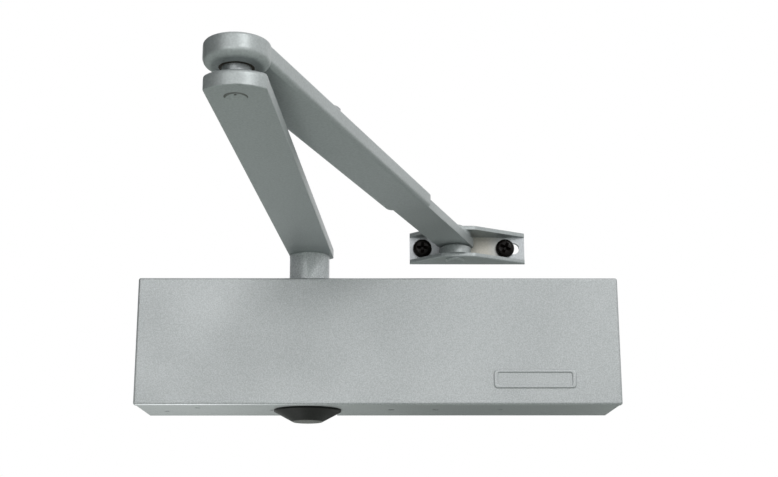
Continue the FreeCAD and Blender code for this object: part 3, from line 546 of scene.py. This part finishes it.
def screw_mesh(sheet, length):
    """One screw with its head's seat at the origin, through a sheet and then as long as its thread."""
    end = sheet + length
    loops = head_rings() + [ring(SCREW_NECK, 0.0), ring(SCREW_NECK, sheet)]
    count = int(length / SCREW_PITCH * RINGS_PER_PITCH)
    loops += [thread_ring(sheet + length * k / count, sheet, end) for k in range(1, count + 1)]
    build = bmesh.new()
    skin_loops(build, loops)
    shell = bpy.data.objects.new("screw_shell", to_mesh("screw_shell", build))
    cutter = bmesh.new()
    skin_loops(cutter, [cross(SLOT_REACH[0], SLOT_HALF_WIDTH[0], -SCREW_HEAD - SLOT_ABOVE),
                        cross(SLOT_REACH[0], SLOT_HALF_WIDTH[0], -SCREW_HEAD + SLOT_MOUTH),
                        cross(SLOT_REACH[1], SLOT_HALF_WIDTH[1], -SCREW_HEAD + SLOT_DEPTH)])
    tool = bpy.data.objects.new("screw_slot", to_mesh("screw_slot", cutter))
    for obj in (shell, tool):
        scene.collection.objects.link(obj)
    cut = shell.modifiers.new("slot", "BOOLEAN")
    cut.object, cut.operation, cut.solver = tool, "DIFFERENCE", "EXACT"
    bpy.context.view_layer.update()
    mesh = bpy.data.meshes.new_from_object(shell.evaluated_get(bpy.context.evaluated_depsgraph_get()))
    for obj in (shell, tool):
        bpy.data.objects.remove(obj)
    return mesh


def bracket_screws():
    """Both screws as one piece, each with its own turn."""
    low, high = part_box("bracket_screws")
    mount = next(m for m in record["mounts"] if m["name"] == "bracket_studs")
    middle, spacing = Vector(mount["pos_m"]), mount["dims"]["spacing_x_mm"] * MM
    seat = low.y + SCREW_HEAD
    one = screw_mesh(middle.y - seat, high.y - middle.y)
    build = bmesh.new()
    for side, turn in SLOT_TURNS.items():
        place = Matrix.Translation((middle.x + side * spacing / 2, seat, middle.z))
        copy = one.copy()
        copy.transform(place @ Matrix.Rotation(turn, 4, "Y"))
        build.from_mesh(copy)
    mesh = to_mesh("cross_slot_screws", build)
    add_piece("cross_slot_screws", mesh, "black_screw", "bracket", "bracket_screws")


bracket_screws()


# Closing spring, in the CAD shape

def closing_spring():
    """A copy of the spring's own mesh, put in as a piece of the closer body in place of the CAD node."""
    mesh = nodes["main_spring"].data.copy()
    mesh.transform(nodes["main_spring"].matrix_world)
    spring = add_piece("closing_spring", mesh, "spring_steel", "closer_body", "main_spring")
    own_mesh(spring)


closing_spring()


# Camera at the photograph's viewpoint

PHOTO_WIDTH = 778
FOCAL_PIXELS = 1300.0
SENSOR_WIDTH = 36.0
PITCH, YAW, ROLL = math.radians(14.46), math.radians(0.63), math.radians(-0.10)
EYE = Vector((-1.55, -645.02, -105.34)) * MM


def place_camera():
    """Turns the camera by the yaw, pitch and roll that a fit of the body's corners gives."""
    forward = Vector((math.sin(YAW) * math.cos(PITCH), math.cos(YAW) * math.cos(PITCH), math.sin(PITCH)))
    right = Vector((math.cos(YAW), -math.sin(YAW), 0.0))
    up = right.cross(forward)
    tilted_right = right * math.cos(ROLL) + up * math.sin(ROLL)
    tilted_up = up * math.cos(ROLL) - right * math.sin(ROLL)
    lens = bpy.data.cameras.new("camera")
    lens.sensor_fit = "HORIZONTAL"
    lens.sensor_width = SENSOR_WIDTH
    lens.lens = FOCAL_PIXELS / PHOTO_WIDTH * SENSOR_WIDTH
    lens.clip_start = 0.01
    camera = bpy.data.objects.new("camera", lens)
    turn = Matrix((tilted_right, tilted_up, -forward)).transposed().to_4x4()
    camera.matrix_world = Matrix.Translation(EYE) @ turn
    scene.collection.objects.link(camera)
    scene.camera = camera


place_camera()


# Floor and reflection cards

FLOOR_Z = -0.22
FLOOR_HALF = 20.0
FLOOR_COLOUR = (0.76, 0.80, 0.75)
CARD_COLOUR = (0.05, 0.05, 0.05)


def stage_sheet(name, corners, shader):
    """One flat sheet of the stage, which is no part of the object."""
    mesh = bpy.data.meshes.new(name)
    mesh.from_pydata(corners, [], [(0, 1, 2, 3)])
    mesh.materials.append(shader.material)
    obj = bpy.data.objects.new(name, mesh)
    scene.collection.objects.link(obj)
    return obj


def floor():
    """A wide pale floor below the object."""
    ends = [(-1, -1), (1, -1), (1, 1), (-1, 1)]
    corners = [(x * FLOOR_HALF, y * FLOOR_HALF, FLOOR_Z) for x, y in ends]
    surface = finish("pale_floor", FLOOR_COLOUR, contrast=0.02, grain=40.0, bump=0.0, rough=(0.7, 0.8))
    stage_sheet("floor", corners, surface)


def dark_card(name, start, end, low, high):
    """A dark studio card, upright along a line, that only the object's reflections see."""
    corners = [(*start, low), (*end, low), (*end, high), (*start, high)]
    surface = finish(name, CARD_COLOUR, contrast=0.05, grain=200.0, bump=0.0, rough=(0.8, 0.9))
    card = stage_sheet(name, corners, surface)
    card.visible_camera = False
    card.visible_shadow = False
    card.visible_diffuse = False


floor()
dark_card("left_card", start=(-0.45, -0.62), end=(-0.45, 1.6), low=0.03, high=1.0)
dark_card("back_card", start=(0.02, 0.5), end=(0.20, 0.5), low=FLOOR_Z, high=-0.05)


# Lamps, with places in metres, sizes in metres and power in watts

def lamp(name, place, aim, size, power, beam=180):
    """A square area lamp turned to a point, with its light kept to a beam of so many degrees."""
    light = bpy.data.lights.new(name, "AREA")
    light.size = size
    light.energy = power
    light.spread = math.radians(beam)
    obj = bpy.data.objects.new(name, light)
    obj.location = place
    obj.rotation_euler = (Vector(aim) - Vector(place)).to_track_quat("-Z", "Y").to_euler()
    obj.visible_camera = False
    scene.collection.objects.link(obj)


lamp("key", place=(0.95, -2.00, 1.25), aim=(0.0, -0.05, 0.0), size=0.8, power=12.9)
lamp("front", place=(-0.90, -3.60, 0.50), aim=(-0.05, -0.05, 0.0), size=0.9, power=1.3, beam=60)
lamp("back", place=(-0.75, 1.50, 0.60), aim=(-0.35, 1.10, FLOOR_Z), size=0.5, power=2.7)
lamp("under", place=(-0.105, -0.03, -0.15), aim=(-0.105, -0.03, 0.0), size=0.08, power=0.034, beam=100)


# World

WORLD_LEVEL = 0.4
WORLD_TINT = (0.95, 0.98, 1.0, 1.0)
WHITE = (1.0, 1.0, 1.0, 1.0)


def white_world():
    """An even light on the object, with pure white behind it and in its reflections."""
    world = bpy.data.worlds.new("world")
    world.use_nodes = True
    scene.world = world
    tree = world.node_tree
    tree.nodes.clear()
    out = tree.nodes.new("ShaderNodeOutputWorld")
    path = tree.nodes.new("ShaderNodeLightPath")
    lit = tree.nodes.new("ShaderNodeBackground")
    lit.inputs["Color"].default_value = WORLD_TINT
    lit.inputs["Strength"].default_value = WORLD_LEVEL
    white = tree.nodes.new("ShaderNodeBackground")
    white.inputs["Color"].default_value = WHITE
    white.inputs["Strength"].default_value = 1.0
    seen = path.outputs["Is Camera Ray"]
    for ray in ("Is Glossy Ray", "Is Transmission Ray"):
        either = tree.nodes.new("ShaderNodeMath")
        either.operation = "MAXIMUM"
        tree.links.new(seen, either.inputs[0])
        tree.links.new(path.outputs[ray], either.inputs[1])
        seen = either.outputs["Value"]
    choose = tree.nodes.new("ShaderNodeMixShader")
    tree.links.new(seen, choose.inputs["Fac"])
    tree.links.new(lit.outputs["Background"], choose.inputs[1])
    tree.links.new(white.outputs["Background"], choose.inputs[2])
    tree.links.new(choose.outputs["Shader"], out.inputs["Surface"])


white_world()
scene.view_settings.view_transform = "Standard"
